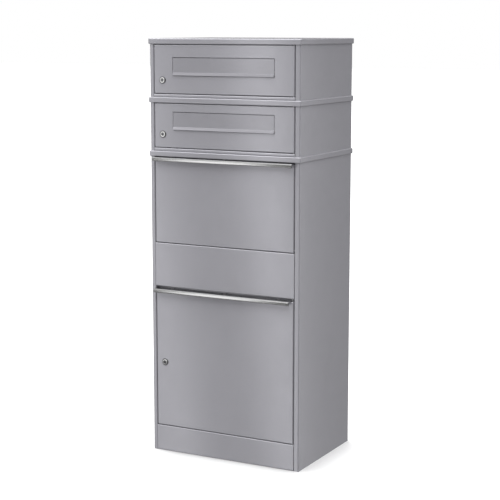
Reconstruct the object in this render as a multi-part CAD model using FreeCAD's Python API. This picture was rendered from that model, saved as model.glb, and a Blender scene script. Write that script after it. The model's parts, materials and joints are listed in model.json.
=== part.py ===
import FreeCAD, Part
import math
import os

# Free-standing sheet-metal mail tower: two letterbox modules stacked on a parcel cabinet.
# Row frame: +Z up, front toward -Y, origin at the middle of the footprint on the floor.

V = FreeCAD.Vector

# ---- driving dimensions, mm ---------------------------------------------------------------

# Outside of the tower
BODY_WIDTH = 415.0
BODY_DEPTH = 300.0
CABINET_HEIGHT = 772.8      # floor to the top of the parcel cabinet's rim
MIDDLE_HEIGHT = 133.4
UPPER_HEIGHT = 143.8
RIM_TALL = 14.0             # skirt of the pan that closes each module
RIM_PROUD = 3.0             # how far a skirt stands out in front and at the sides
STRIP_REACH = 15.0          # how far a handle strip stands out in front

# Sheet metal
SHEET = 1.5
BEND = 2.5                  # outer bend radius of the housings
DOOR_BEND = 2.0
RETURN = 12.0               # depth of the folded edges of doors, stiles and panels
STOP_DEPTH = 14.0           # how far behind the front the door stops hang
STOP_DROP = 8.5
REAR_FLANGE = 15.0

# Front layout
GAP = 1.5                   # shadow gap round every door
SEAM = 0.3                  # seam beside a fixed panel
STILE_LOCK = 10.75          # visible stile on the lock side
STILE_HINGE = 13.95         # visible stile on the hinge side
RAIL = 7.7                  # rail under a letterbox door
LOCK_INSET = 36.5           # lock centre from the side of the body
LOCK_RISE = 41.9            # lock centre above the foot of a letterbox module
FLAP_RISE = 75.5            # centre of the insert slot above the foot of a module
SLOT_WIDTH = 282.0
SLOT_HEIGHT = 45.0
HATCH_FOOT = 542.35
MIDDLE_PANEL_FOOT = 429.6
PARCEL_DOOR_FOOT = 67.9
PARCEL_LOCK_HEIGHT = 234.1
STRIP_TO_HATCH_RIM = 1.3    # air between the hatch strip and the rim above it
STRIP_TO_PANEL = 5.0        # air between the door strip and the fixed panel above it

# Handle strips
STRIP_TALL = 10.0
STRIP_PLATE = 2.0
STRIP_LIP = 4.0
STRIP_SEAT = 10.0           # depth of the strip's seat on the door's top edge
STRIP_RELIEF = 7.0          # the door strip stops short so that the door can swing

# Hinges and pivots
PIN_RADIUS = 1.5
PIN_INSET = 3.3             # door pin axis from the door's edge and from its face
PIN_ENGAGE = 8.0
RUNNING = 0.05              # radial clearance of a running fit
HATCH_PIN_RADIUS = 2.0
HATCH_AXIS_DEPTH = 5.0      # hatch axis behind its face
HATCH_AXIS_RISE = 5.5       # hatch axis above its foot
BUSH_WALL = 0.75
BUSH_LENGTH = 3.5
HATCH_OPEN = 50.0           # degrees

# Insert flap
FLAP_SHEET = 1.2
FLAP_GAP = 1.2
FLAP_LIP_TALL = 6.8
FLAP_LIP_REACH = 3.5
FLAP_AXIS_DEPTH = 4.2
FLAP_AXIS_DROP = 5.0        # below the top edge of the slot
FLAP_CURL = 3.3

# Tilting tray of the hatch
TRAY_RUN = 225.0
TRAY_START = 15.0
TRAY_UPSTAND = 45.0
TRAY_HEM = 8.0
CHEEK_RADIUS = 195.0
CHEEK_SWEEP = 55.0          # degrees of full-radius cheek behind the hatch
CHEEK_SIDE = 42.0           # height of the cheek at the end of the tray

# Locks
BEZEL_RADIUS = 9.0
BEZEL_FACE_RADIUS = 6.8
BEZEL_STANDS = 3.0
BARREL_RADIUS = 8.0
BARREL_HALF_FLAT = 6.9
BARREL_LENGTH = 13.0
PLUG_RADIUS = 4.5
CAM_SHEET = 2.5
CAM_WIDTH = 13.0
CAM_LENGTH = 31.0
CAM_SQUARE = 6.2

# Fixings
WALL_HOLE_RADIUS = 4.5
WALL_HOLE_X = 150.0
WALL_HOLE_Z = (150.0, 650.0)
FLOOR_HOLE_RADIUS = 5.5
FLOOR_HOLE_X = 150.0
FLOOR_HOLE_Y = (-95.0, 105.0)
JOINING_X = 170.0
JOINING_Y = (-95.0, 105.0)
M6 = 3.0
M4 = 2.0
STRIP_SCREW_X = (-150.0, 0.0, 150.0)
STRIP_SCREW_DEPTH = 6.0

# ---- positions that follow ------------------------------------------------------------------

HALF = BODY_WIDTH / 2
TOTAL_DEPTH = STRIP_REACH + BODY_DEPTH + SHEET
FRONT = STRIP_REACH - TOTAL_DEPTH / 2        # plane of stiles, doors and fixed panels
BACK = FRONT + BODY_DEPTH                    # outer face of the back panels
REAR_FOLD = BACK - SHEET                     # outer face of the sides' rear flanges
STILE_LEFT = -HALF + STILE_LOCK              # inner edges of the two stiles
STILE_RIGHT = HALF - STILE_HINGE
DOOR_LEFT = STILE_LEFT + GAP
DOOR_RIGHT = STILE_RIGHT - GAP
DOOR_MIDDLE = (DOOR_LEFT + DOOR_RIGHT) / 2
SLOT_LEFT = DOOR_MIDDLE - SLOT_WIDTH / 2
SLOT_RIGHT = DOOR_MIDDLE + SLOT_WIDTH / 2
LOCK_X = -HALF + LOCK_INSET
HINGE_X = DOOR_RIGHT - PIN_INSET
HINGE_Y = FRONT + PIN_INSET
MIDDLE_PANEL_TOP = HATCH_FOOT - GAP
PLINTH_TOP = PARCEL_DOOR_FOOT - GAP
CABINET_RIM_FOOT = CABINET_HEIGHT - RIM_TALL
HATCH_TOP = CABINET_RIM_FOOT - STRIP_TO_HATCH_RIM - STRIP_PLATE
PARCEL_DOOR_TOP = MIDDLE_PANEL_FOOT - STRIP_TO_PANEL - STRIP_PLATE
HATCH_AXIS_Y = FRONT + HATCH_AXIS_DEPTH
HATCH_AXIS_Z = HATCH_FOOT + HATCH_AXIS_RISE
BUSH_RADIUS = HATCH_PIN_RADIUS + RUNNING + BUSH_WALL
BETWEEN_STILES = (STILE_LEFT + SEAM, STILE_RIGHT - SEAM)


# ---- geometry helpers -----------------------------------------------------------------------

def block(x, y, z):
    """Solid box between a (low, high) pair on each axis."""
    sizes = [high - low for low, high in (x, y, z)]
    return Part.makeBox(*sizes, V(x[0], y[0], z[0]))


def rod(start, end, radius):
    """Solid cylinder between two points."""
    run = end - start
    return Part.makeCylinder(radius, run.Length, start, run)


def join(solids):
    """One solid from touching or overlapping solids."""
    whole = solids[0].multiFuse(solids[1:]).removeSplitter()
    return whole.Solids[0] if len(whole.Solids) == 1 else whole


def drill(solid, holes):
    """The solid with every hole cut out of it."""
    whole = solid.cut(holes)
    return whole.Solids[0] if len(whole.Solids) == 1 else whole


def rounded_outline(corners):
    """Closed wire through (u, v, radius) corners, each rounded by a tangent arc."""
    count = len(corners)
    bends = []
    for i, (u, v, radius) in enumerate(corners):
        here = V(u, v, 0)
        back = V(*corners[i - 1][:2], 0) - here
        ahead = V(*corners[(i + 1) % count][:2], 0) - here
        back.normalize()
        ahead.normalize()
        half_angle = back.getAngle(ahead) / 2
        reach = radius / math.tan(half_angle)
        bisector = back + ahead
        if radius > 0:
            bisector.normalize()
        middle = here + bisector * (radius / math.sin(half_angle) - radius)
        bends.append((here + back * reach, middle, here + ahead * reach, radius))
    edges = []
    for i, (start, middle, end, radius) in enumerate(bends):
        if radius > 0:
            edges.append(Part.Arc(start, middle, end).toShape())
        following = bends[(i + 1) % count][0]
        if (following - end).Length > 1e-6:
            edges.append(Part.makeLine(end, following))
    return Part.Wire(edges)


def slab(outline, plane, start, end):
    """Solid of a closed outline drawn in the plane "xy", "yz" or "xz", from start to end
    along the third axis."""
    face = Part.Face(outline)
    face.translate(V(0, 0, -end if plane == "xz" else start))
    solid = face.extrude(V(0, 0, end - start))
    if plane == "yz":
        solid.rotate(V(0, 0, 0), V(1, 1, 1), 120)
    if plane == "xz":
        solid.rotate(V(0, 0, 0), V(1, 0, 0), 90)
    return solid


def bent_sheet(path, plane, start, end, sheet=SHEET, bend=BEND):
    """Sheet folded along a path of (u, v) points, its thickness on the left of the path."""
    points = [V(u, v, 0) for u, v in path]
    last = len(points) - 1
    near = []
    far = []
    for i, point in enumerate(points):
        before = points[max(i, 1)] - points[max(i, 1) - 1]
        after = points[min(i, last - 1) + 1] - points[min(i, last - 1)]
        before.normalize()
        after.normalize()
        left_before = V(-before.y, before.x, 0)
        left_after = V(-after.y, after.x, 0)
        shift = (left_before + left_after) * (sheet / (1 + left_before.dot(left_after)))
        turn = before.cross(after).z
        radii = (0, 0)
        if turn > 0:
            radii = (bend, bend - sheet)
        if turn < 0:
            radii = (bend - sheet, bend)
        near.append((point.x, point.y, radii[0]))
        far.append((point.x + shift.x, point.y + shift.y, radii[1]))
    return slab(rounded_outline(near + far[::-1]), plane, start, end)


def rounded_box(low, high, radius):
    """Box with every edge rounded."""
    solid = Part.makeBox(*(high - low), low)
    return solid.makeFillet(radius, solid.Edges)


def folded_box(low, high, axis, open_plane, radius):
    """Box with every edge rounded except those in its open plane."""
    solid = Part.makeBox(*(high - low), low)
    edges = []
    for edge in solid.Edges:
        if any(abs(vertex.Point[axis] - open_plane) > 1e-6 for vertex in edge.Vertexes):
            edges.append(edge)
    return solid.makeFillet(radius, edges)


def pan(low, high, open_face, bend=BEND, sheet=SHEET):
    """Folded sheet pan between two corners, open on a face such as "+y"."""
    axis = "xyz".index(open_face[1])
    wall = V(sheet, sheet, sheet)
    inner_low = low + wall
    inner_high = high - wall
    if open_face[0] == "+":
        inner_high[axis] = high[axis] + sheet
        outer_plane = high[axis]
        inner_plane = inner_high[axis]
    else:
        inner_low[axis] = low[axis] - sheet
        outer_plane = low[axis]
        inner_plane = inner_low[axis]
    outer = folded_box(low, high, axis, outer_plane, bend)
    inner = folded_box(inner_low, inner_high, axis, inner_plane, bend - sheet)
    return drill(outer, [inner])


def hexagon(x, y, z, across_flats, height):
    """Upright hexagonal prism standing on z."""
    radius = across_flats / math.sqrt(3)
    corners = []
    for i in range(6):
        angle = math.radians(60 * i)
        corners.append((x + radius * math.cos(angle), y + radius * math.sin(angle), 0))
    return slab(rounded_outline(corners), "xy", z, z + height)


def save(name, *solids):
    """Write one node, which may be a group of identical separate solids."""
    shape = solids[0] if len(solids) == 1 else Part.makeCompound(list(solids))
    shape.exportStep("parts/" + name + ".step")


# ---- housing pieces shared by all three modules ---------------------------------------------

def side_panels(module, foot, top):
    """Left and right walls: rear flange, wall, stile and inner lip folded from one sheet."""
    left = bent_sheet(
        [
            (-HALF + REAR_FLANGE, REAR_FOLD),
            (-HALF, REAR_FOLD),
            (-HALF, FRONT),
            (STILE_LEFT, FRONT),
            (STILE_LEFT, FRONT + RETURN),
        ],
        "xy", foot, top - SHEET)
    right = bent_sheet(
        [
            (STILE_RIGHT, FRONT + RETURN),
            (STILE_RIGHT, FRONT),
            (HALF, FRONT),
            (HALF, REAR_FOLD),
            (HALF - REAR_FLANGE, REAR_FOLD),
        ],
        "xy", foot, top - SHEET)
    if module == "cabinet":
        left = drill(left, [hatch_axis_rod(STILE_LEFT - 2 * SHEET, STILE_LEFT + 1, BUSH_RADIUS)])
        right = drill(right, [hatch_axis_rod(STILE_RIGHT - 1, STILE_RIGHT + 2 * SHEET, BUSH_RADIUS)])
    save(module + "_left_side", left)
    save(module + "_right_side", right)


def hatch_axis_rod(left, right, radius):
    """Cylinder on the hatch's pivot axis."""
    return rod(V(left, HATCH_AXIS_Y, HATCH_AXIS_Z), V(right, HATCH_AXIS_Y, HATCH_AXIS_Z), radius)


def back_panel(module, foot, top):
    """Flat back sheet, spot-welded to the rear flanges."""
    edge = HALF - BEND
    sheet = block((-edge, edge), (REAR_FOLD, BACK), (foot, top - BEND))
    if module == "cabinet":
        holes = []
        for x in (-WALL_HOLE_X, WALL_HOLE_X):
            for z in WALL_HOLE_Z:
                holes.append(rod(V(x, REAR_FOLD - 1, z), V(x, BACK + 1, z), WALL_HOLE_RADIUS))
        sheet = drill(sheet, holes)
    save(module + "_back_panel", sheet)


def joining_points():
    """Where bolts tie each letterbox to the module below it."""
    return [(x, y) for x in (-JOINING_X, JOINING_X) for y in JOINING_Y]


def joining_holes(z):
    """Clearance holes for the joining bolts through a level sheet near z."""
    holes = []
    for x, y in joining_points():
        holes.append(rod(V(x, y, z - 2 * SHEET), V(x, y, z + 2 * SHEET), M6 + SEAM))
    return holes


def rim_pan(name, top, bolted):
    """Pan that closes a module. Its skirt is the proud rim, rolled in at the foot to meet the body."""
    low = V(-HALF - RIM_PROUD, FRONT - RIM_PROUD, top - RIM_TALL)
    high = V(HALF + RIM_PROUD, BACK + SHEET, top)
    wall = V(SHEET, SHEET, SHEET)
    body = rounded_outline([
        (-HALF, FRONT, BEND),
        (HALF, FRONT, BEND),
        (HALF, BACK, 0),
        (-HALF, BACK, 0),
    ])
    cuts = [rounded_box(low + wall, high - wall, BEND - SHEET), slab(body, "xy", low.z - 1, low.z + BEND)]
    if bolted:
        cuts += joining_holes(top)
    save(name, drill(rounded_box(low, high, BEND), cuts))


def header_rail(rim_foot, top):
    """Rail above a door: web behind the skirt, flange and hanging stop."""
    return bent_sheet(
        [
            (FRONT, top - SHEET),
            (FRONT, rim_foot),
            (FRONT + STOP_DEPTH, rim_foot),
            (FRONT + STOP_DEPTH, rim_foot - STOP_DROP),
        ],
        "yz", *BETWEEN_STILES)


def pin_hole(low, high, radius):
    """Hole for a door hinge pin between two heights."""
    return rod(V(HINGE_X, HINGE_Y, low), V(HINGE_X, HINGE_Y, high), radius)


def hinge_pin(foot, top):
    """Door hinge pin between two heights, its ends slightly chamfered."""
    pin = pin_hole(foot, top, PIN_RADIUS)
    ends = [edge for edge in pin.Edges if edge.Curve.TypeId == "Part::GeomCircle"]
    return pin.makeChamfer(0.3, ends)


# ---- lock, shared by all three doors -------------------------------------------------------

def barrel(x, z, start, end, clearance):
    """Double-D lock barrel, or the hole for it when there is clearance."""
    body = rod(V(x, start, z), V(x, end, z), BARREL_RADIUS + clearance)
    half = BARREL_HALF_FLAT + clearance
    flats = block((x - half, x + half), (start, end), (z - BARREL_RADIUS * 2, z + BARREL_RADIUS * 2))
    return body.common(flats)


def lock(door, x, z):
    """Cam lock: housing and nut on the door, plug, cam and screw turning in it."""
    face = FRONT - BEZEL_STANDS
    inner_end = FRONT + BARREL_LENGTH
    bore = rod(V(x, face - 1, z), V(x, inner_end + 1, z), PLUG_RADIUS + RUNNING)
    seat = rod(V(x, FRONT - 1, z), V(x, FRONT, z), BEZEL_RADIUS)
    bevel = Part.makeCone(
        BEZEL_FACE_RADIUS, BEZEL_RADIUS, BEZEL_STANDS - 1, V(x, face, z), V(0, 1, 0))
    housing = join([bevel, seat, barrel(x, z, FRONT, inner_end, 0)])
    save(door + "_lock_housing", drill(housing, [bore]))

    nut_thick = 4.0
    nut_flats = 22.0
    nut = hexagon(0, 0, 0, nut_flats, nut_thick)
    nut = drill(nut, [rod(V(0, 0, -1), V(0, 0, nut_thick + 1), BARREL_RADIUS + RUNNING)])
    nut.rotate(V(0, 0, 0), V(1, 0, 0), -90)
    nut.translate(V(x, FRONT + SHEET, z))
    save(door + "_lock_nut", nut)

    cam_start = inner_end + 0.2
    cam_end = cam_start + CAM_SHEET
    plug = rod(V(x, face + 0.4, z), V(x, cam_start, z), PLUG_RADIUS)
    half = CAM_SQUARE / 2
    tail = block((x - half, x + half), (cam_start - 1, cam_end - 0.2), (z - half, z + half))
    key_slot = block((x - 0.7, x + 0.7), (face, face + 6), (z - 3, z + 3))
    tapping = rod(V(x, cam_start - 6, z), V(x, cam_end, z), M4 + RUNNING)
    save(door + "_lock_plug", drill(join([plug, tail]), [key_slot, tapping]))

    side = CAM_WIDTH / 2
    outline = rounded_outline([
        (x - side, z + side, side * 0.9),
        (x - side, z - CAM_LENGTH, 3),
        (x + side, z - CAM_LENGTH, 3),
        (x + side, z + side, side * 0.9),
    ])
    cam = slab(outline, "xz", cam_start, cam_end)
    hole = half + RUNNING
    square = block((x - hole, x + hole), (cam_start - 1, cam_end + 1), (z - hole, z + hole))
    save(door + "_lock_cam", drill(cam, [square]))

    head_thick = 2.6
    head_radius = 5.0
    head = rod(V(x, cam_end, z), V(x, cam_end + head_thick, z), head_radius)
    shank = rod(V(x, cam_start - 5, z), V(x, cam_end, z), M4)
    screw = join([head, shank])
    recess = block((x - 3, x + 3), (cam_end + 1.4, cam_end + 3), (z - 0.5, z + 0.5))
    save(door + "_cam_screw", drill(screw, [recess]))


# ---- letterbox module ----------------------------------------------------------------------

def floor_pan(module, foot):
    """Letterbox floor, folded up in front into the rail under the door."""
    plate = block(
        (-HALF + SHEET, HALF - SHEET), (FRONT + RETURN + SEAM, REAR_FOLD - BEND), (foot, foot + SHEET))
    rail = bent_sheet(
        [
            (FRONT + RETURN, foot + RAIL),
            (FRONT, foot + RAIL),
            (FRONT, foot),
            (FRONT + RETURN + 2 * SHEET, foot),
        ],
        "yz", *BETWEEN_STILES)
    holes = joining_holes(foot)
    holes.append(pin_hole(foot + RAIL - 2 * SHEET, foot + RAIL + 1, PIN_RADIUS))
    save(module + "_floor_pan", drill(join([plate, rail]), holes))


def letterbox_door(module, foot, rim_foot):
    """Door pan with the insert slot, the lock hole and the pin holes."""
    door_foot = foot + RAIL + GAP
    door_top = rim_foot - GAP
    door = pan(V(DOOR_LEFT, FRONT, door_foot), V(DOOR_RIGHT, FRONT + RETURN, door_top), "+y", DOOR_BEND)
    middle = foot + FLAP_RISE
    slot = rounded_outline([
        (SLOT_LEFT, middle - SLOT_HEIGHT / 2, 1),
        (SLOT_RIGHT, middle - SLOT_HEIGHT / 2, 1),
        (SLOT_RIGHT, middle + SLOT_HEIGHT / 2, 1),
        (SLOT_LEFT, middle + SLOT_HEIGHT / 2, 1),
    ])
    cuts = [
        slab(slot, "xz", FRONT - 1, FRONT + 2 * SHEET),
        barrel(LOCK_X, foot + LOCK_RISE, FRONT - 1, FRONT + 2 * SHEET, 0.1),
        pin_hole(door_foot - 1, door_top + 1, PIN_RADIUS + RUNNING),
    ]
    save(module + "_door", drill(door, cuts))


def insert_flap(module, foot):
    """Flap with a kicked-out grip lip, hung from its top edge on a rod."""
    middle = foot + FLAP_RISE
    slot_top = middle + SLOT_HEIGHT / 2
    flap_top = slot_top - GAP
    flap_foot = middle - SLOT_HEIGHT / 2 + FLAP_GAP
    axis_y = FRONT + FLAP_AXIS_DEPTH
    axis_z = slot_top - FLAP_AXIS_DROP
    ends = (SLOT_LEFT + FLAP_GAP, SLOT_RIGHT - FLAP_GAP)
    plate = bent_sheet(
        [
            (FRONT, flap_top),
            (FRONT, flap_foot + FLAP_LIP_TALL),
            (FRONT - FLAP_LIP_REACH, flap_foot),
        ],
        "yz", *ends, FLAP_SHEET, 2.0)
    curl = rod(V(ends[0], axis_y, axis_z), V(ends[1], axis_y, axis_z), FLAP_CURL)
    bore = rod(V(ends[0] - 1, axis_y, axis_z), V(ends[1] + 1, axis_y, axis_z), PIN_RADIUS)
    save(module + "_insert_flap", drill(join([plate, curl]), [bore]))

    ear_gap = 1.9
    ear_outer = ear_gap + SHEET
    axle_end = ear_outer + 1.2
    axle = rod(V(SLOT_LEFT - axle_end, axis_y, axis_z), V(SLOT_RIGHT + axle_end, axis_y, axis_z), PIN_RADIUS)
    save(module + "_flap_axle", axle)

    behind = FRONT + SHEET
    flange = block(
        (SLOT_LEFT - 11, SLOT_LEFT - ear_gap), (behind, behind + SHEET), (middle - 21, middle + 24))
    tab = block((SLOT_LEFT - 11, SLOT_LEFT + 6), (behind, behind + SHEET), (middle - 20, middle - 8))
    ear = block(
        (SLOT_LEFT - ear_outer, SLOT_LEFT - ear_gap), (behind, behind + 7.5), (middle + 11, middle + 24))
    hole = rod(
        V(SLOT_LEFT - axle_end, axis_y, axis_z), V(SLOT_LEFT, axis_y, axis_z), PIN_RADIUS + RUNNING)
    bracket = drill(join([flange, tab, ear]), [hole])
    twin = bracket.mirror(V(DOOR_MIDDLE, 0, 0), V(1, 0, 0))
    save(module + "_flap_brackets", bracket, twin)


def letterbox(module, rim_name, foot, height, bolted_above):
    """All pieces of one letterbox module standing on foot."""
    top = foot + height
    rim_foot = top - RIM_TALL
    side_panels(module, foot, top)
    back_panel(module, foot, top)
    floor_pan(module, foot)
    rim_pan(rim_name, top, bolted_above)
    header = header_rail(rim_foot, top)
    save(module + "_header_rail", drill(header, [pin_hole(rim_foot - 1, rim_foot + 2, PIN_RADIUS)]))
    letterbox_door(module, foot, rim_foot)
    insert_flap(module, foot)
    lock(module, LOCK_X, foot + LOCK_RISE)


# ---- parcel cabinet ------------------------------------------------------------------------

def cabinet_housing():
    """Walls, back, rim pan, fixed panels and base of the parcel cabinet."""
    side_panels("cabinet", 0, CABINET_HEIGHT)
    back_panel("cabinet", 0, CABINET_HEIGHT)
    rim_pan("cabinet_top_pan", CABINET_HEIGHT, True)
    save("cabinet_header_rail", header_rail(CABINET_RIM_FOOT, CABINET_HEIGHT))

    panel = bent_sheet(
        [
            (FRONT + RETURN, MIDDLE_PANEL_TOP),
            (FRONT, MIDDLE_PANEL_TOP),
            (FRONT, MIDDLE_PANEL_FOOT),
            (FRONT + STOP_DEPTH, MIDDLE_PANEL_FOOT),
            (FRONT + STOP_DEPTH, PARCEL_DOOR_TOP - 8),
        ],
        "yz", *BETWEEN_STILES)
    pin = pin_hole(MIDDLE_PANEL_FOOT - 1, MIDDLE_PANEL_FOOT + 2, PIN_RADIUS)
    save("fixed_middle_panel", drill(panel, [pin]))

    plinth = bent_sheet(
        [
            (FRONT + RETURN, PLINTH_TOP),
            (FRONT, PLINTH_TOP),
            (FRONT, 0),
            (FRONT + RETURN, 0),
        ],
        "yz", *BETWEEN_STILES)
    save("plinth_panel", drill(plinth, [pin_hole(PLINTH_TOP - 2, PLINTH_TOP + 1, PIN_RADIUS)]))

    base_low = V(-HALF + SHEET + SEAM, FRONT + RETURN + SEAM, 0)
    base_high = V(HALF - SHEET - SEAM, REAR_FOLD - SHEET - SEAM, 22)
    base = pan(base_low, base_high, "+z")
    holes = []
    for x in (-FLOOR_HOLE_X, FLOOR_HOLE_X):
        for y in FLOOR_HOLE_Y:
            holes.append(rod(V(x, y, -1), V(x, y, 2 * SHEET), FLOOR_HOLE_RADIUS))
    save("cabinet_base_pan", drill(base, holes))

    wall = base_high.x - 2 * SHEET
    floor = bent_sheet(
        [
            (wall, SHEET),
            (wall, PLINTH_TOP),
            (-wall, PLINTH_TOP),
            (-wall, SHEET),
        ],
        "xz", base_low.y + 2 * SHEET, base_high.y - 2 * SHEET)
    save("chamber_floor_tray", floor)


def handle_strip(name, left, right, top):
    """Bull-nosed grip profile seated on a door's top edge, and its countersunk screws."""
    nose = FRONT - STRIP_REACH
    lip = nose + STRIP_LIP
    outline = rounded_outline([
        (FRONT + STRIP_SEAT, top, 0),
        (nose, top, 4.5),
        (nose, top - STRIP_TALL, 2.8),
        (lip, top - STRIP_TALL, 0.8),
        (lip, top - STRIP_PLATE, 1.2),
        (FRONT + STRIP_SEAT, top - STRIP_PLATE, 0),
    ])
    strip = slab(outline, "yz", left, right)
    screws = []
    holes = []
    for x in STRIP_SCREW_X:
        at = V(x + DOOR_MIDDLE, FRONT + STRIP_SCREW_DEPTH, top)
        screws.append(countersunk(at, 0))
        holes.append(countersunk(at, RUNNING))
    save(name + "_handle_strip", drill(strip, holes))
    save(name + "_strip_screws", *screws)


def countersunk(at, clearance):
    """M4 countersunk screw hanging from a point, or the hole for it."""
    head = Part.makeCone(M4 + 1.7 + clearance, M4 + clearance, 1.7, at, V(0, 0, -1))
    shank = rod(at, at - V(0, 0, 9), M4 + clearance)
    return join([head, shank])


def screw_holes(top):
    """Holes for a strip's screws in the door's top edge."""
    holes = []
    for x in STRIP_SCREW_X:
        at = V(x + DOOR_MIDDLE, FRONT + STRIP_SCREW_DEPTH, top)
        holes.append(rod(at + V(0, 0, 1), at - V(0, 0, 6), M4 + RUNNING))
    return holes


def hatch():
    """Pull-down hatch with its tilting tray, cheeks, pivots and handle strip."""
    low = V(DOOR_LEFT, FRONT, HATCH_FOOT)
    high = V(DOOR_RIGHT, FRONT + RETURN, HATCH_TOP)
    panel = pan(low, high, "+y", DOOR_BEND)
    pivot = hatch_axis_rod(-HALF, HALF, HATCH_PIN_RADIUS)
    save("hatch_panel", drill(panel, [pivot] + screw_holes(HATCH_TOP)))
    handle_strip("hatch", DOOR_LEFT, DOOR_RIGHT, HATCH_TOP + STRIP_PLATE)

    slope = math.radians(HATCH_OPEN)
    down = V(math.cos(slope), -math.sin(slope), 0)
    up = V(math.sin(slope), math.cos(slope), 0)
    inside = FRONT + SHEET
    cheek_front = FRONT + DOOR_BEND
    bend = V(FRONT + TRAY_START, HATCH_FOOT + SHEET, 0)
    end = bend + down * TRAY_RUN
    hem = end - up * TRAY_HEM
    tray = bent_sheet(
        [
            (inside, HATCH_FOOT + TRAY_UPSTAND),
            (inside, HATCH_FOOT + SHEET),
            (bend.x, bend.y),
            (end.x, end.y),
            (hem.x, hem.y),
        ],
        "yz", DOOR_LEFT + 2 * SHEET, DOOR_RIGHT - 2 * SHEET)
    save("hatch_tray", tray)

    axis = V(HATCH_AXIS_Y, HATCH_AXIS_Z, 0)
    sweep = math.radians(CHEEK_SWEEP)
    corner = end + up * CHEEK_SIDE
    arc_rise = math.sqrt(CHEEK_RADIUS ** 2 - (cheek_front - HATCH_AXIS_Y) ** 2)
    arc_top = V(cheek_front, HATCH_AXIS_Z + arc_rise, 0)
    arc_middle = axis + V(math.sin(sweep / 2), math.cos(sweep / 2), 0) * CHEEK_RADIUS
    arc_end = axis + V(math.sin(sweep), math.cos(sweep), 0) * CHEEK_RADIUS
    foot = V(cheek_front, HATCH_FOOT + DOOR_BEND, 0)
    heel = V(bend.x, HATCH_FOOT + DOOR_BEND, 0)
    outline = Part.Wire([
        Part.makeLine(foot, arc_top),
        Part.Arc(arc_top, arc_middle, arc_end).toShape(),
        Part.makeLine(arc_end, corner),
        Part.makeLine(corner, end),
        Part.makeLine(end, heel),
        Part.makeLine(heel, foot),
    ])
    left_cheek = slab(outline, "yz", DOOR_LEFT + SHEET, DOOR_LEFT + 2 * SHEET)
    right_cheek = slab(outline, "yz", DOOR_RIGHT - 2 * SHEET, DOOR_RIGHT - SHEET)
    save("hatch_left_cheek", drill(left_cheek, [pivot]))
    save("hatch_right_cheek", drill(right_cheek, [pivot]))

    beyond = 5.7
    pins = [
        hatch_axis_rod(DOOR_LEFT - beyond, DOOR_LEFT + 2 * SHEET, HATCH_PIN_RADIUS),
        hatch_axis_rod(DOOR_RIGHT - 2 * SHEET, DOOR_RIGHT + beyond, HATCH_PIN_RADIUS),
    ]
    bore = hatch_axis_rod(-HALF, HALF, HATCH_PIN_RADIUS + RUNNING)
    bushes = [
        drill(hatch_axis_rod(STILE_LEFT - BUSH_LENGTH, STILE_LEFT, BUSH_RADIUS), [bore]),
        drill(hatch_axis_rod(STILE_RIGHT, STILE_RIGHT + BUSH_LENGTH, BUSH_RADIUS), [bore]),
    ]
    save("hatch_pivot_pins", *pins)
    save("hatch_pivot_bushes", *bushes)


def parcel_door():
    """Side-hinged collection door with lock and handle strip."""
    low = V(DOOR_LEFT, FRONT, PARCEL_DOOR_FOOT)
    high = V(DOOR_RIGHT, FRONT + RETURN, PARCEL_DOOR_TOP)
    door = pan(low, high, "+y", DOOR_BEND)
    cuts = screw_holes(PARCEL_DOOR_TOP)
    cuts.append(barrel(LOCK_X, PARCEL_LOCK_HEIGHT, FRONT - 1, FRONT + 2 * SHEET, 0.1))
    cuts.append(pin_hole(PARCEL_DOOR_FOOT - 1, PARCEL_DOOR_TOP + 1, PIN_RADIUS + RUNNING))
    save("parcel_door", drill(door, cuts))
    handle_strip("parcel_door", DOOR_LEFT, DOOR_RIGHT - STRIP_RELIEF, PARCEL_DOOR_TOP + STRIP_PLATE)
    lock("parcel", LOCK_X, PARCEL_LOCK_HEIGHT)


# ---- pieces that several modules share -----------------------------------------------------

def door_pins(feet, rim_feet):
    """Two hinge pins for each of the three doors."""
    pins = []
    for foot, rim_foot in zip(feet, rim_feet):
        rail_top = foot + RAIL
        pins.append(hinge_pin(rail_top - 4, rail_top + GAP + PIN_ENGAGE))
        pins.append(hinge_pin(rim_foot - GAP - PIN_ENGAGE, rim_foot + 4))
    pins.append(hinge_pin(PLINTH_TOP - 4, PARCEL_DOOR_FOOT + PIN_ENGAGE))
    pins.append(hinge_pin(PARCEL_DOOR_TOP - PIN_ENGAGE, MIDDLE_PANEL_FOOT + 4))
    save("door_hinge_pins", *pins)


def joining_hardware(levels):
    """Hexagon bolts and nuts that tie the modules together."""
    bolts = []
    nuts = []
    head_flats = 10.0
    head_tall = 4.0
    nut_tall = 5.0
    for level in levels:
        for x, y in joining_points():
            head = hexagon(x, y, level + SHEET, head_flats, head_tall)
            shank_end = level - SHEET - nut_tall - 2
            shank = rod(V(x, y, level + SHEET), V(x, y, shank_end), M6)
            bolts.append(join([head, shank]))
            nut = hexagon(x, y, level - SHEET - nut_tall, head_flats, nut_tall)
            nuts.append(drill(nut, [rod(V(x, y, level), V(x, y, shank_end), M6 + RUNNING)]))
    save("joining_bolts", *bolts)
    save("joining_nuts", *nuts)


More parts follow.
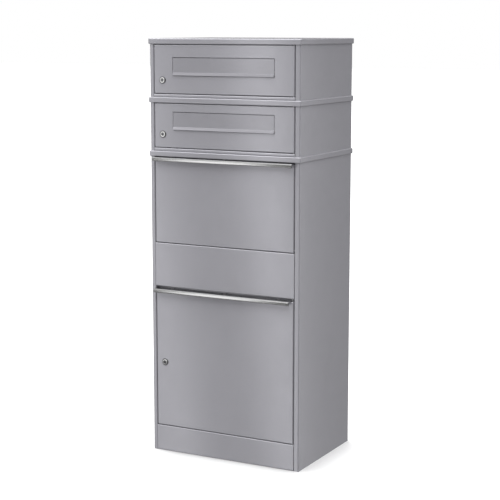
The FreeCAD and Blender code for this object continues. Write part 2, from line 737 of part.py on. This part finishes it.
def buffers_and_stops(rim_feet):
    """Rubber pads that the doors close on, and the pads and brackets that stop the open hatch."""
    pads = []
    pad_front = FRONT + RETURN + SEAM
    pad_depth = (pad_front, FRONT + STOP_DEPTH)
    left_pad = (DOOR_LEFT + 8, DOOR_LEFT + 20)
    right_pad = (DOOR_RIGHT - 20, DOOR_RIGHT - 8)
    for rim_foot in rim_feet:
        pads.append(block(left_pad, pad_depth, (rim_foot - 8, rim_foot - 1)))
    pads.append(block(left_pad, pad_depth, (PARCEL_DOOR_TOP - 7, PARCEL_DOOR_TOP + 1)))
    for side in (left_pad, right_pad):
        pads.append(block(side, pad_depth, (CABINET_RIM_FOOT - 8, CABINET_RIM_FOOT - 1)))

    stop_depth = (FRONT + 222, FRONT + 236)
    stop_level = HATCH_FOOT + 65
    pad_tall = 3.0
    leg_tall = 16.0
    brackets = []
    for wall, tip in ((-HALF + SHEET, DOOR_LEFT + 6), (HALF - SHEET, DOOR_RIGHT - 6)):
        across = (min(wall, tip), max(wall, tip))
        shelf_level = stop_level + pad_tall
        shelf = block(across, stop_depth, (shelf_level, shelf_level + SHEET))
        inward = SHEET if tip > wall else -SHEET
        leg_across = (min(wall, wall + inward), max(wall, wall + inward))
        leg = block(leg_across, stop_depth, (shelf_level, shelf_level + leg_tall))
        brackets.append(join([shelf, leg]))
        pads.append(block(
            (min(tip, tip - 4 * inward), max(tip, tip - 4 * inward)), stop_depth, (stop_level, shelf_level)))
    save("hatch_stop_brackets", *brackets)
    save("rubber_buffers", *pads)


def main():
    os.makedirs("parts", exist_ok=True)
    middle_foot = CABINET_HEIGHT
    upper_foot = CABINET_HEIGHT + MIDDLE_HEIGHT
    feet = (middle_foot, upper_foot)
    rim_feet = (upper_foot - RIM_TALL, upper_foot + UPPER_HEIGHT - RIM_TALL)
    cabinet_housing()
    hatch()
    parcel_door()
    letterbox("middle", "middle_top_pan", middle_foot, MIDDLE_HEIGHT, True)
    letterbox("upper", "top_lid", upper_foot, UPPER_HEIGHT, False)
    door_pins(feet, rim_feet)
    joining_hardware(feet)
    buffers_and_stops(rim_feet)


main()
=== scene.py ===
import json
import math

import bmesh
import bpy
from mathutils import Matrix, Quaternion, Vector

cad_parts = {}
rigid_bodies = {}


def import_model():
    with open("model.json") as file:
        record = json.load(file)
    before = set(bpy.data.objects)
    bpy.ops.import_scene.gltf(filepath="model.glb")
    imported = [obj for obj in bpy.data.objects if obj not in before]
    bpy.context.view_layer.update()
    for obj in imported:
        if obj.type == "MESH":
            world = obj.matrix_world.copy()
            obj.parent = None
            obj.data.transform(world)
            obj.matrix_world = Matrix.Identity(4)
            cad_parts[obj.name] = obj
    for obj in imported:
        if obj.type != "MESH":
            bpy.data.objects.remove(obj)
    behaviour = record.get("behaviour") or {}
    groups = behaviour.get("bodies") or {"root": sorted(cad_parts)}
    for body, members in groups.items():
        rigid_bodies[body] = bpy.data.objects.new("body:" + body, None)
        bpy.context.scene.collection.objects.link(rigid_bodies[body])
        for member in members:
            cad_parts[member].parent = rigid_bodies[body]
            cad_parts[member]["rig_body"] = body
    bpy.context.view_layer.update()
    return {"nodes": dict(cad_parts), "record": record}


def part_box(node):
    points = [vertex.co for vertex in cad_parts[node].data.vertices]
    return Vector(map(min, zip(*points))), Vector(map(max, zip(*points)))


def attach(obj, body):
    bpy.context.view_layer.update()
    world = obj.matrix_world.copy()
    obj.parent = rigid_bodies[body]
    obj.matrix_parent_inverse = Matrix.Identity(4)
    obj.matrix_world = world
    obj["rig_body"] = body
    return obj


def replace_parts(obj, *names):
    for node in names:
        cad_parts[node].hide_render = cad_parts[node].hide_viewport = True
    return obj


# Looks of the mail tower: finishes for every CAD sheet, turned and threaded hardware, studio.
# Everything is in metres in the shared frame: doors face -Y, +Z is up, floor at z = 0.

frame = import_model()
NODES = frame["nodes"]
SLOT_OF = {part["node"]: part["material_slot"] for part in frame["record"]["subparts"]}
LETTERBOXES = ("upper", "middle")
DOORS = ("upper", "middle", "parcel")
MM = 0.001

# ---- finishes: node trees -------------------------------------------------------------------

NOISE_SPAN = (0.3, 0.7)             # the range in which nearly all values of a noise lie
PAINT = (0.360, 0.356, 0.386)
STEEL = (0.63, 0.63, 0.64)
ZINC = (0.60, 0.61, 0.62)
NICKEL = (0.80, 0.80, 0.79)
# dark nickel of the lock plugs; on the lock bezels this colour is painted shade round the lock
DARK_NICKEL_AND_PAINTED_SHADE = (0.24, 0.24, 0.25)
POLISHED_STEEL = (0.42, 0.42, 0.42)
RUBBER = (0.028, 0.028, 0.030)
NYLON = (0.05, 0.05, 0.053)
FLOOR_GREY = (0.86, 0.86, 0.86)


class Finish:
    """Short-hand for one material's node tree. Textures are placed in the shared frame, so the
    scale of a noise or of cells is a count per metre."""

    def __init__(self, name, roughness, metallic, **shader):
        self.material = bpy.data.materials.new(name)
        self.material.use_nodes = True
        self.tree = self.material.node_tree
        self.shader = self.tree.nodes["Principled BSDF"]
        self.shader.inputs["Roughness"].default_value = roughness
        self.shader.inputs["Metallic"].default_value = metallic
        for socket, value in shader.items():
            self.shader.inputs[socket.replace("_", " ")].default_value = value
        self.place = self.node("ShaderNodeTexCoord").outputs["Object"]

    def node(self, kind, **settings):
        made = self.tree.nodes.new(kind)
        for key, value in settings.items():
            setattr(made, key, value)
        return made

    def link(self, source, target):
        self.tree.links.new(source, target)

    def stretched(self, scale):
        """Row-frame coordinates multiplied by a scale on each axis."""
        mapping = self.node("ShaderNodeMapping")
        mapping.inputs["Scale"].default_value = scale
        self.link(self.place, mapping.inputs["Vector"])
        return mapping.outputs["Vector"]

    def noise(self, scale, detail=3.0, roughness=0.5, where=None):
        made = self.node("ShaderNodeTexNoise")
        made.inputs["Scale"].default_value = scale
        made.inputs["Detail"].default_value = detail
        made.inputs["Roughness"].default_value = roughness
        self.link(where or self.place, made.inputs["Vector"])
        return made.outputs["Fac"]

    def cells(self, scale, output="Color"):
        made = self.node("ShaderNodeTexVoronoi")
        made.inputs["Scale"].default_value = scale
        self.link(self.place, made.inputs["Vector"])
        return made.outputs[output]

    def ramp(self, source, low, high, span=(0.0, 1.0)):
        """Maps a value from its own span to a value between low and high."""
        made = self.node("ShaderNodeMapRange")
        made.inputs["From Min"].default_value, made.inputs["From Max"].default_value = span
        made.inputs["To Min"].default_value = low
        made.inputs["To Max"].default_value = high
        self.link(source, made.inputs["Value"])
        return made.outputs["Result"]

    def product(self, a, b):
        made = self.node("ShaderNodeMath", operation="MULTIPLY")
        self.link(a, made.inputs[0])
        self.link(b, made.inputs[1])
        return made.outputs["Value"]

    def shade(self, colour, factor):
        """A fixed colour times a value that varies over the surface, as the base colour."""
        made = self.node("ShaderNodeVectorMath", operation="SCALE")
        made.inputs[0].default_value = colour
        self.link(factor, made.inputs["Scale"])
        self.link(made.outputs["Vector"], self.shader.inputs["Base Color"])

    def roughen(self, value):
        self.link(value, self.shader.inputs["Roughness"])

    def bump(self, *layers):
        """Bump layers, each a height value and its depth in metres."""
        normal = None
        for height, depth in layers:
            made = self.node("ShaderNodeBump")
            made.inputs["Strength"].default_value = 1.0
            made.inputs["Distance"].default_value = depth
            self.link(height, made.inputs["Height"])
            if normal is not None:
                self.link(normal, made.inputs["Normal"])
            normal = made.outputs["Normal"]
        self.link(normal, self.shader.inputs["Normal"])


def silver_powder_coat():
    """Satin silver-grey powder coat: aluminium flake, orange peel and slightly wavy sheet.
    Its roughness stays under 0.27, because a noise that crosses that leaves white specks in the
    denoised picture."""
    paint = Finish("silver_powder_coat", 0.25, 0.35, Coat_Weight=0.15, Coat_Roughness=0.2)
    flake = paint.ramp(paint.cells(2200.0), 0.93, 1.07)
    cloud = paint.ramp(paint.noise(7.0, 4.0), 0.985, 1.015, NOISE_SPAN)
    paint.shade(PAINT, paint.product(flake, cloud))
    paint.roughen(paint.ramp(paint.noise(38.0, 5.0, 0.6), 0.225, 0.268, NOISE_SPAN))
    peel = paint.noise(300.0, 2.0)
    wave = paint.noise(5.0, 1.0)
    paint.bump((wave, 0.3 * MM), (peel, 0.003 * MM))
    return paint.material


def lock_core():
    """Dark satin nickel of the lock plugs and bezels, with fine turning marks. On the bezels the
    dark colour is painted shade: it stands in for the shadow that falls round the proud lock.
    """
    core = Finish("lock_core", 0.22, 1.0)
    mottle = core.noise(300.0, 4.0, 0.6)
    core.shade(DARK_NICKEL_AND_PAINTED_SHADE, core.ramp(mottle, 0.88, 1.10, NOISE_SPAN))
    core.roughen(core.ramp(mottle, 0.17, 0.265, NOISE_SPAN))
    return core.material


def galvanised_sheet():
    """Zinc-coated sheet with crystal spangle and faint rolling lines."""
    sheet = Finish("galvanised_sheet", 0.42, 0.85)
    spangle = sheet.cells(95.0)
    tone = sheet.ramp(spangle, 0.80, 1.12)
    rolled = sheet.noise(1.0, 3.0, 0.6, sheet.stretched((12.0, 900.0, 900.0)))
    sheet.shade(ZINC, sheet.product(tone, sheet.ramp(rolled, 0.96, 1.04)))
    sheet.roughen(sheet.ramp(spangle, 0.32, 0.52))
    sheet.bump((sheet.cells(95.0, "Distance"), 0.02 * MM))
    return sheet.material


def polished_strip():
    """Polished stainless profile, brushed along its length."""
    strip = Finish("polished_strip", 0.16, 1.0, Anisotropic=0.35)
    hair = strip.noise(1.0, 4.0, 0.65, strip.stretched((8.0, 2600.0, 2600.0)))
    strip.shade(POLISHED_STEEL, strip.ramp(hair, 0.95, 1.03))
    strip.roughen(strip.ramp(hair, 0.12, 0.21))
    strip.bump((hair, 0.004 * MM))
    return strip.material


def nickel_plate():
    """Bright nickel plate of the locks, with faint turning marks."""
    plate = Finish("nickel_plate", 0.14, 1.0)
    mottle = plate.noise(260.0, 4.0, 0.6)
    plate.shade(NICKEL, plate.ramp(mottle, 0.94, 1.04, NOISE_SPAN))
    plate.roughen(plate.ramp(mottle, 0.10, 0.20, NOISE_SPAN))
    return plate.material


def zinc_plate():
    """Blue-white zinc plate of bolts, nuts, pins and cams."""
    plate = Finish("zinc_plate", 0.30, 0.95)
    mottle = plate.noise(120.0, 5.0, 0.6)
    plate.shade(STEEL, plate.ramp(mottle, 0.82, 1.08, NOISE_SPAN))
    plate.roughen(plate.ramp(mottle, 0.285, 0.42, NOISE_SPAN))
    plate.bump((plate.noise(900.0, 2.0), 0.006 * MM))
    return plate.material


def black_rubber():
    """Matt rubber with moulding grain."""
    rubber = Finish("black_rubber", 0.75, 0.0)
    grain = rubber.noise(700.0, 4.0, 0.6)
    rubber.shade(RUBBER, rubber.ramp(grain, 0.8, 1.3, NOISE_SPAN))
    rubber.roughen(rubber.ramp(grain, 0.66, 0.86, NOISE_SPAN))
    rubber.bump((grain, 0.04 * MM))
    return rubber.material


def black_nylon():
    """Moulded nylon of the pivot bushes."""
    nylon = Finish("black_nylon", 0.45, 0.0)
    grain = nylon.noise(400.0, 3.0)
    nylon.shade(NYLON, nylon.ramp(grain, 0.9, 1.15, NOISE_SPAN))
    nylon.roughen(nylon.ramp(grain, 0.38, 0.52, NOISE_SPAN))
    nylon.bump((grain, 0.02 * MM))
    return nylon.material


MATERIALS = {
    "grey_paint": silver_powder_coat(),
    "galvanised": galvanised_sheet(),
    "polished_strip": polished_strip(),
    "lock_chrome": nickel_plate(),
    "lock_core": lock_core(),
    "zinc": zinc_plate(),
    "rubber": black_rubber(),
    "nylon": black_nylon(),
}


def finish_cad_nodes():
    """Every CAD node takes the finish of its slot in the record."""
    for node, slot in SLOT_OF.items():
        materials = NODES[node].data.materials
        materials.clear()
        materials.append(MATERIALS[slot])


finish_cad_nodes()

# ---- hardware: turned, threaded and hexagonal pieces ------------------------------------------

ROUND = 48                          # steps round a turned piece, a multiple of six for hexagons
CHAMFER_SLOPE = math.tan(math.radians(30))
THREAD_DEPTH = 0.45 * MM
CLEARANCE = 0.05 * MM               # between a round piece and its bore
SMOOTH_UNDER = math.radians(32)
MERGE_WITHIN = 0.001 * MM           # tessellated CAD vertices closer than this are one
FLAT_WITHIN = math.radians(1)       # facets that turn less than this are joined


def turned(outline, closed):
    """Mesh of an outline turned round the local Z axis. The outline is a function that gives
    (radius, height) points at an angle. An open one starts and ends on the axis."""
    mesh = bmesh.new()
    rings = []
    poles = {}
    for step in range(ROUND):
        angle = 2 * math.pi * step / ROUND
        ring = []
        for i, (radius, height) in enumerate(outline(angle)):
            if radius == 0.0:
                if i not in poles:
                    poles[i] = mesh.verts.new((0, 0, height))
                ring.append(poles[i])
            else:
                x, y = radius * math.cos(angle), radius * math.sin(angle)
                ring.append(mesh.verts.new((x, y, height)))
        rings.append(ring)
    count = len(rings[0])
    for step in range(ROUND):
        here, there = rings[step], rings[(step + 1) % ROUND]
        for i in range(count if closed else count - 1):
            j = (i + 1) % count
            corners = []
            for vertex in (here[i], there[i], there[j], here[j]):
                if vertex not in corners:
                    corners.append(vertex)
            mesh.faces.new(corners)
    return mesh


def hexagon_radius(flats, angle):
    """Distance from the middle of a hexagon to its side at an angle."""
    off_middle = (angle + math.pi / 6) % (math.pi / 3) - math.pi / 6
    return flats / 2 / math.cos(off_middle)


def chamfered_hexagon(flats, low, high, angle):
    """Outline points of a hexagon's side, its corners turned off at 30 degrees at both ends.
    The turned face is 0.95 of the distance between the flats."""
    radius = hexagon_radius(flats, angle)
    shoulder = 0.95 * flats / 2
    drop = (radius - shoulder) * CHAMFER_SLOPE
    return [(shoulder, high), (radius, high - drop), (radius, low + drop), (shoulder, low)]


def thread(radius, start, end, pitch):
    """Outline points of V ridges between two heights."""
    turns = round(abs(start - end) / pitch)
    step = (end - start) / turns
    points = []
    for turn in range(turns):
        points.append((radius - THREAD_DEPTH, start + step * turn))
        points.append((radius, start + step * (turn + 0.5)))
    return points + [(radius - THREAD_DEPTH, end)]


def pointed(radius, height):
    """Outline point at the chamfered end of a thread."""
    return (radius - 2 * THREAD_DEPTH, height)


def add_piece(name, mesh, body, slot, bevel=0.0):
    """Makes a piece from a mesh in the shared frame, with its slot's finish, riding on a body."""
    bmesh.ops.recalc_face_normals(mesh, faces=mesh.faces)
    data = bpy.data.meshes.new(name)
    mesh.to_mesh(data)
    mesh.free()
    data.shade_smooth()
    data.set_sharp_from_angle(angle=SMOOTH_UNDER)
    data.materials.append(MATERIALS[slot])
    made = bpy.data.objects.new(name, data)
    bpy.context.scene.collection.objects.link(made)
    if bevel:
        rounding = made.modifiers.new("rounded_edges", "BEVEL")
        rounding.width = bevel
        rounding.segments = 3
        rounding.limit_method = "ANGLE"
        rounding.angle_limit = SMOOTH_UNDER
        rounding.harden_normals = True
    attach(made, body)
    return made


def body_of(node):
    """The CAD body that a node belongs to."""
    return NODES[node]["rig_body"]


def softened(node, width):
    """Copy of a CAD piece with its edges rounded, shown instead of it."""
    mesh = bmesh.new()
    mesh.from_mesh(NODES[node].data)
    bmesh.ops.remove_doubles(mesh, verts=mesh.verts, dist=MERGE_WITHIN)
    bmesh.ops.dissolve_limit(mesh, angle_limit=FLAT_WITHIN, verts=mesh.verts, edges=mesh.edges)
    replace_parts(add_piece(node + "_softened", mesh, body_of(node), SLOT_OF[node], width), node)


def lock(door):
    """Cam lock of one door: bright face ring on a threaded double-D barrel, dark bezel (its
    darkness painted shade round the lock), nut.
    """
    housing = door + "_lock_housing"
    low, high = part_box(housing)
    panel = "parcel_door" if door == "parcel" else door + "_door"
    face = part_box(panel)[0].y
    stands, length = face - low.y, high.y - face
    bezel_radius = (high.x - low.x) / 2
    plug_low, plug_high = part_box(door + "_lock_plug")
    bore = (plug_high.x - plug_low.x) / 2 + CLEARANCE
    centre = Vector(((low.x + high.x) / 2, face, (low.z + high.z) / 2))
    outward = Matrix.Translation(centre) @ Matrix.Rotation(math.pi / 2, 4, "X")

    ring = 6.8 * MM                 # radius of the bright face ring
    barrel = 8.0 * MM               # radius of the threaded barrel
    half_flat = 6.9 * MM            # from the barrel's middle to its two flats
    body_outline = [
        (bore, -length),
        (bore, stands - 0.3 * MM),
        (bore + 0.3 * MM, stands),
        (ring - 1.0 * MM, stands),
        (ring - 0.4 * MM, stands - 0.1 * MM),
        (ring, stands - 0.5 * MM),
        (ring, 0.0),
        (barrel - THREAD_DEPTH, 0.0),
    ]
    body_outline += thread(barrel, -2.0 * MM, -length + 0.6 * MM, 1.0 * MM)
    body_outline.append(pointed(barrel, -length))
    mesh = turned(lambda angle: body_outline, True)
    for vertex in mesh.verts:
        if vertex.co.z < 0:
            vertex.co.x = max(-half_flat, min(half_flat, vertex.co.x))
    mesh.transform(outward)
    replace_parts(add_piece(door + "_lock_body", mesh, panel, "lock_chrome"), housing)

    bezel_outline = [
        (ring + 0.1 * MM, 0.0),
        (bezel_radius, 0.0),
        (bezel_radius, 0.7 * MM),
        (bezel_radius - 0.2 * MM, 1.1 * MM),
        (ring + 0.5 * MM, stands - 0.3 * MM),
        (ring + 0.25 * MM, stands - 0.2 * MM),
        (ring + 0.1 * MM, stands - 0.5 * MM),
    ]
    mesh = turned(lambda angle: bezel_outline, True)
    mesh.transform(outward)
    # The bezel's dark finish is painted shade: it stands in for the shadow that falls round the
    # proud lock.
    add_piece(door + "_lock_bezel", mesh, panel, "lock_core")

    nut_low, nut_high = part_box(door + "_lock_nut")
    flats = nut_high.z - nut_low.z
    near, far = face - nut_low.y, face - nut_high.y
    nut_bore = barrel + CLEARANCE
    countersink = 0.5 * MM

    def nut_outline(angle):
        bore_points = [
            (nut_bore + countersink, far),
            (nut_bore, far + countersink),
            (nut_bore, near - countersink),
            (nut_bore + countersink, near),
        ]
        return bore_points + chamfered_hexagon(flats, far, near, angle)

    mesh = turned(nut_outline, True)
    mesh.transform(outward)
    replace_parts(add_piece(door + "_lock_hex_nut", mesh, panel, "zinc"), door + "_lock_nut")
    softened(door + "_lock_plug", 0.2 * MM)
    softened(door + "_lock_cam", 0.4 * MM)
    softened(door + "_cam_screw", 0.5 * MM)


def repeated(mesh, places):
    """One mesh of copies, each moved to a place."""
    single = bpy.data.meshes.new("single")
    mesh.to_mesh(single)
    mesh.free()
    together = bmesh.new()
    for place in places:
        before = len(together.verts)
        together.from_mesh(single)
        together.verts.ensure_lookup_table()
        bmesh.ops.translate(together, verts=together.verts[before:], vec=place)
    bpy.data.meshes.remove(single)
    return together


def joining_hardware():
    """M6 hexagon bolts and nuts through each pair of sheets where one module stands on the next."""
    low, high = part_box("joining_nuts")
    flats = 10.0 * MM
    radius = 3.0 * MM
    sheet = 1.5 * MM
    corner = hexagon_radius(flats, 0.0)
    across = (low.x + corner, high.x - corner)
    along = (low.y + flats / 2, high.y - flats / 2)
    levels = (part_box("cabinet_top_pan")[1].z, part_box("middle_top_pan")[1].z)
    places = [Vector((x, y, level)) for level in levels for x in across for y in along]
    bolt_low, bolt_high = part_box("joining_bolts")
    head_top = bolt_high.z - levels[1]
    shank_end = bolt_low.z - levels[0]
    dish_floor = head_top - 0.3 * MM

    def bolt_outline(angle):
        dish = [(0.0, dish_floor), (3.4 * MM, dish_floor), (3.8 * MM, head_top)]
        shank = [(radius, sheet), (radius, -sheet)]
        shank += thread(radius, -1.2 * sheet, shank_end + 0.5 * MM, 1.0 * MM)
        tip = [pointed(radius, shank_end), (0.0, shank_end)]
        return dish + chamfered_hexagon(flats, sheet, head_top, angle) + shank + tip

    bolts = repeated(turned(bolt_outline, False), places)
    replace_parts(add_piece("joining_hex_bolts", bolts, "housing", "zinc"), "joining_bolts")

    bore = radius + CLEARANCE
    countersink = 0.4 * MM
    nut_low, nut_high = low.z - levels[0], high.z - levels[1]

    def nut_outline(angle):
        bore_points = [
            (bore + countersink, nut_low),
            (bore, nut_low + countersink),
            (bore, nut_high - countersink),
            (bore + countersink, nut_high),
        ]
        return bore_points + chamfered_hexagon(flats, nut_low, nut_high, angle)

    nuts = repeated(turned(nut_outline, True), places)
    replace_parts(add_piece("joining_hex_nuts", nuts, "housing", "zinc"), "joining_nuts")


def strip_screws(door):
    """Countersunk socket screws that hold a handle strip on a door's top edge."""
    node = door + "_strip_screws"
    low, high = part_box(node)
    head = (high.y - low.y) / 2
    length = high.z - low.z
    radius = 2.0 * MM
    socket_flats = 2.5 * MM
    socket_floor = -1.2 * MM
    middle = (low + high) / 2
    across = (low.x + head, middle.x, high.x - head)
    places = [Vector((x, middle.y, high.z)) for x in across]

    def outline(angle):
        socket = hexagon_radius(socket_flats, angle)
        hole = [(0.0, socket_floor), (socket, socket_floor)]
        rim = [(socket, -0.1 * MM), (socket + 0.1 * MM, 0.0)]
        cone = [(head - 0.2 * MM, 0.0), (head - 0.05 * MM, -0.15 * MM), (radius, -1.7 * MM)]
        shank = thread(radius, -1.8 * MM, -length + 0.4 * MM, 0.7 * MM)
        return hole + rim + cone + shank + [pointed(radius, -length), (0.0, -length)]

    screws = repeated(turned(outline, False), places)
    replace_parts(add_piece(door + "_socket_screws", screws, body_of(node), "zinc"), node)


for door in DOORS:
    lock(door)
for door in ("hatch", "parcel_door"):
    strip_screws(door)
joining_hardware()
softened("rubber_buffers", 0.5 * MM)
softened("hatch_pivot_bushes", 0.2 * MM)
softened("hatch_pivot_pins", 0.3 * MM)
for box_name in LETTERBOXES:
    softened(box_name + "_flap_axle", 0.3 * MM)

# ---- studio ---------------------------------------------------------------------------------

CAMERA_PLACE = (1.639, -3.084, 1.078)
CAMERA_YAW = math.radians(28.03)
CAMERA_PITCH = math.radians(9.15)
CAMERA_LENS = 99.8
ROOM_GREYS = {0.0: 0.55, 0.42: 0.17, 0.55: 0.05, 1.0: 1.2}      # straight down to straight up
FLOOR_LIGHT = 4.0                   # makes the floor white round a tight contact shadow
FILL_LIGHT = 0.52                   # lightens the dark gaps round the doors
FLOOR_REACH = 30.0


def camera():
    """Camera in front of the right corner, at lid height, looking slightly down."""
    data = bpy.data.cameras.new("camera")
    data.lens = CAMERA_LENS
    made = bpy.data.objects.new("camera", data)
    made.location = CAMERA_PLACE
    made.rotation_euler = (math.pi / 2 - CAMERA_PITCH, 0, CAMERA_YAW)
    bpy.context.scene.collection.objects.link(made)
    bpy.context.scene.camera = made


def softbox(name, place, aim, size, power, lean):
    """Rectangular softbox at a place, facing a point and leaning by some degrees. The camera
    doesn't see it."""
    data = bpy.data.lights.new(name, "AREA")
    data.shape = "RECTANGLE"
    data.size, data.size_y = size
    data.energy = power
    made = bpy.data.objects.new(name, data)
    made.location = place
    facing = (Vector(aim) - Vector(place)).to_track_quat("-Z", "Y")
    made.rotation_euler = (facing @ Quaternion((0, 0, 1), math.radians(lean))).to_euler()
    made.visible_camera = False
    bpy.context.scene.collection.objects.link(made)
    return made


def sun(name, strength, spread, towards, shadows):
    """Distant light that shines in a direction and isn't seen in reflections."""
    data = bpy.data.lights.new(name, "SUN")
    data.energy = strength
    data.angle = math.radians(spread)
    data.use_shadow = shadows
    made = bpy.data.objects.new(name, data)
    made.rotation_euler = Vector(towards).to_track_quat("-Z", "Y").to_euler()
    made.visible_glossy = False
    bpy.context.scene.collection.objects.link(made)
    return made


def floor():
    """Plain pale floor."""
    mesh = bpy.data.meshes.new("floor")
    sides = ((-1, -1), (1, -1), (1, 1), (-1, 1))
    mesh.from_pydata([(FLOOR_REACH * x, FLOOR_REACH * y, 0) for x, y in sides], [], [(0, 1, 2, 3)])
    made = bpy.data.objects.new("floor", mesh)
    pale = Finish("pale_floor", 0.6, 0.0)
    pale.shade(FLOOR_GREY, pale.ramp(pale.noise(3.0), 0.995, 1.005))
    mesh.materials.append(pale.material)
    bpy.context.scene.collection.objects.link(made)
    made.visible_glossy = made.visible_diffuse = made.visible_shadow = False
    return made


def room_light():
    """White for the camera. Everything else is lit by a grey room, bright overhead, nearly black
    at eye level and dim below."""
    world = bpy.data.worlds.new("room")
    bpy.context.scene.world = world
    world.use_nodes = True
    tree = world.node_tree
    direction = tree.nodes.new("ShaderNodeSeparateXYZ")
    place = tree.nodes.new("ShaderNodeTexCoord").outputs["Generated"]
    tree.links.new(place, direction.inputs["Vector"])
    height = tree.nodes.new("ShaderNodeMapRange")
    height.inputs["From Min"].default_value = -1.0
    tree.links.new(direction.outputs["Z"], height.inputs["Value"])
    level = tree.nodes.new("ShaderNodeValToRGB")
    stops = level.color_ramp.elements
    while len(stops) < len(ROOM_GREYS):
        stops.new(0.5)
    for stop, (position, grey) in zip(stops, ROOM_GREYS.items()):
        stop.position = position
        stop.color = (grey, grey, grey, 1.0)
    tree.links.new(height.outputs["Result"], level.inputs["Fac"])
    seen = tree.nodes.new("ShaderNodeMix")
    seen.data_type = "RGBA"
    is_camera = tree.nodes.new("ShaderNodeLightPath").outputs["Is Camera Ray"]
    tree.links.new(is_camera, seen.inputs["Factor"])
    tree.links.new(level.outputs["Color"], seen.inputs["A"])
    seen.inputs["B"].default_value = (1.0, 1.0, 1.0, 1.0)
    tree.links.new(seen.outputs["Result"], tree.nodes["Background"].inputs["Color"])


def lit_only(light, nodes):
    """The lamp lights only these objects."""
    receivers = bpy.data.collections.new("lit_by_" + light.name)
    for node in nodes:
        receivers.objects.link(node)
    light.light_linking.receiver_collection = receivers


camera()
room_light()
flaps = [NODES[name + "_insert_flap"] for name in LETTERBOXES]
strips = [NODES["hatch_handle_strip"], NODES["parcel_door_handle_strip"]]
lock_faces = ("_lock_body", "_lock_plug_softened")
locks = [bpy.data.objects[door + piece] for door in DOORS for piece in lock_faces]
sheets = [node for node in NODES.values() if node not in strips]
all_but_flaps = [node for node in sheets if node not in flaps]

# name, place, point it faces, width and height, watts, lean in degrees, what it lights
SOFTBOXES = (
    ("left_softbox", (-0.80, -1.0, 0.7), (-0.50, 0.0, 0.7), (0.14, 2.4), 1.9, 7.0, sheets),
    ("right_softbox", (-0.32, -1.0, 0.7), (-0.20, 0.0, 0.7), (0.12, 2.4), 2.0, 5.0, sheets),
    ("ceiling_softbox", (0.2, -0.9, 2.3), (0.2, -0.9, 0.0), (4.0, 3.2), 88.0, 0.0, all_but_flaps),
    ("side_softbox", (1.05, 0.9, 0.3), (0.2, 0.0, 0.3), (0.40, 1.6), 4.4, 0.0, sheets),
    ("flap_softbox", (-0.2, -1.6, 1.65), (0.0, 0.0, 0.9), (1.60, 0.4), 10.0, 0.0, flaps),
    ("strip_softbox", (-0.58, -1.14, 0.65), (-0.2, 0.0, 0.6), (0.30, 1.1), 2.1, 0.0, strips),
    ("strip_top_softbox", (0.0, -0.7, 2.3), (0.0, -0.7, 0.0), (2.4, 2.0), 9.0, 0.0, strips),
    ("lock_softbox", (-0.60, -1.0, 0.87), (-0.17, 0.0, 0.8), (0.70, 1.70), 3.6, 0.0, locks),
)
for *settings, lit in SOFTBOXES:
    lit_only(softbox(*settings), lit)
lit_only(sun("skylight", FLOOR_LIGHT, 11.0, (0.04, -0.014, -1.0), True), [floor()])
lit_only(sun("fill", FILL_LIGHT, 30.0, (-0.60, 0.75, -0.28), False), sheets)
bpy.context.scene.view_settings.view_transform = "Standard"
